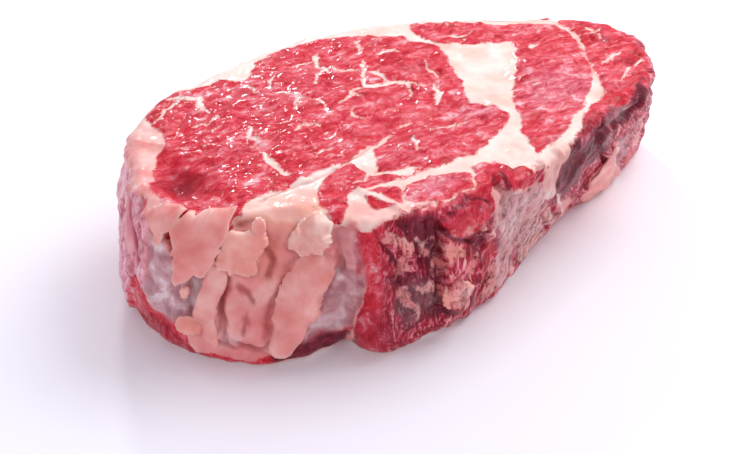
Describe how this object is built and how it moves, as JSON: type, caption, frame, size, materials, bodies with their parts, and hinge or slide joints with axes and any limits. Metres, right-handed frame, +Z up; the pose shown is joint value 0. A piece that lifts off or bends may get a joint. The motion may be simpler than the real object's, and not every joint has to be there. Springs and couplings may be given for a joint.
{
  "type": "raw ribeye steak",
  "caption": "Thick raw boneless ribeye steak lying flat on its cut face: a rounded eye end that narrows to a tail, with a furrow down the front.",
  "frame": {"origin": "middle of the steak's bounding box, at the height of the flat underside", "axes": "+X towards the narrow tail, +Y towards the back edge that carries the thin fat rind, +Z up out of the upper cut face"},
  "size_m": [0.2144, 0.1236, 0.0516],
  "materials": {
    "steak": "raw beef, moist and soft, with cream fat"
  },
  "bodies": {
    "root": {"steak": "steak"}
  },
  "joints": []
}
